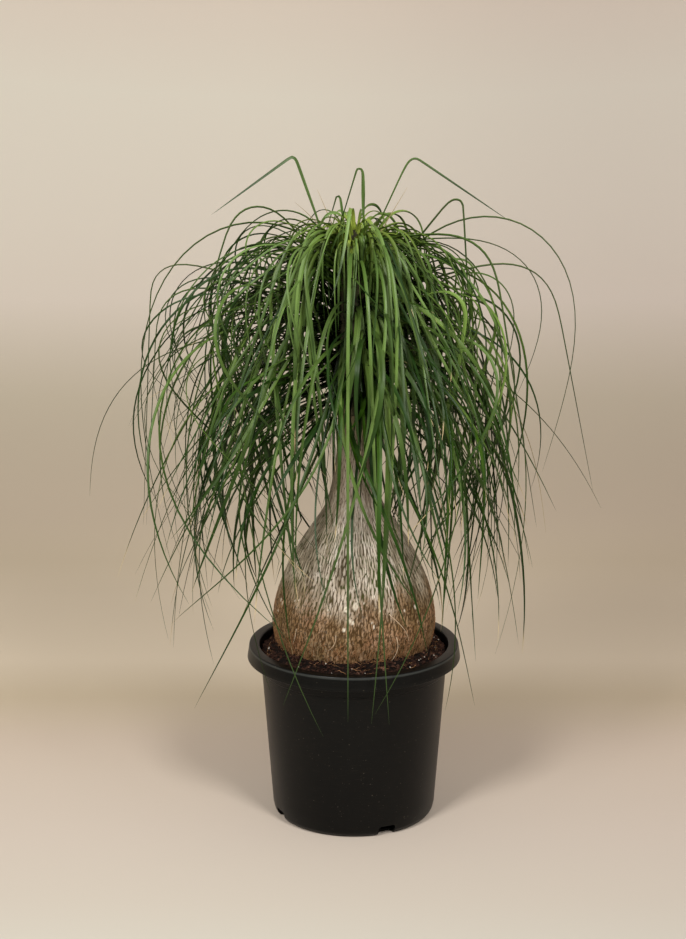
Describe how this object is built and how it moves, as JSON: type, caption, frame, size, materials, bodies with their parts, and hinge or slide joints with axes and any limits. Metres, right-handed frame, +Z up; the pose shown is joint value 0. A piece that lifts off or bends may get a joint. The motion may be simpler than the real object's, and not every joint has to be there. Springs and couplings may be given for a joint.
{
  "type": "potted ponytail palm",
  "caption": "Ponytail palm with a swollen grey caudex and a fountain of long arching strap leaves, standing in soil in a round black nursery pot.",
  "frame": {"origin": "centre of the pot's flat base, on the surface that it stands on", "axes": "+Z up along the stem, -Y to the front that the picture shows, +X to the picture's right"},
  "size_m": [0.7193, 0.5415, 0.9309],
  "materials": {
    "pot_plastic": "satin",
    "soil": "matte",
    "bark": "matte",
    "leaf_dark": "satin",
    "leaf_mid": "satin",
    "leaf_fresh": "satin"
  },
  "bodies": {
    "root": {"pot": "pot_plastic", "soil": "soil", "trunk": "bark", "leaves_lower": "leaf_dark", "leaves_middle": "leaf_mid", "leaves_upper": "leaf_fresh"}
  },
  "joints": []
}
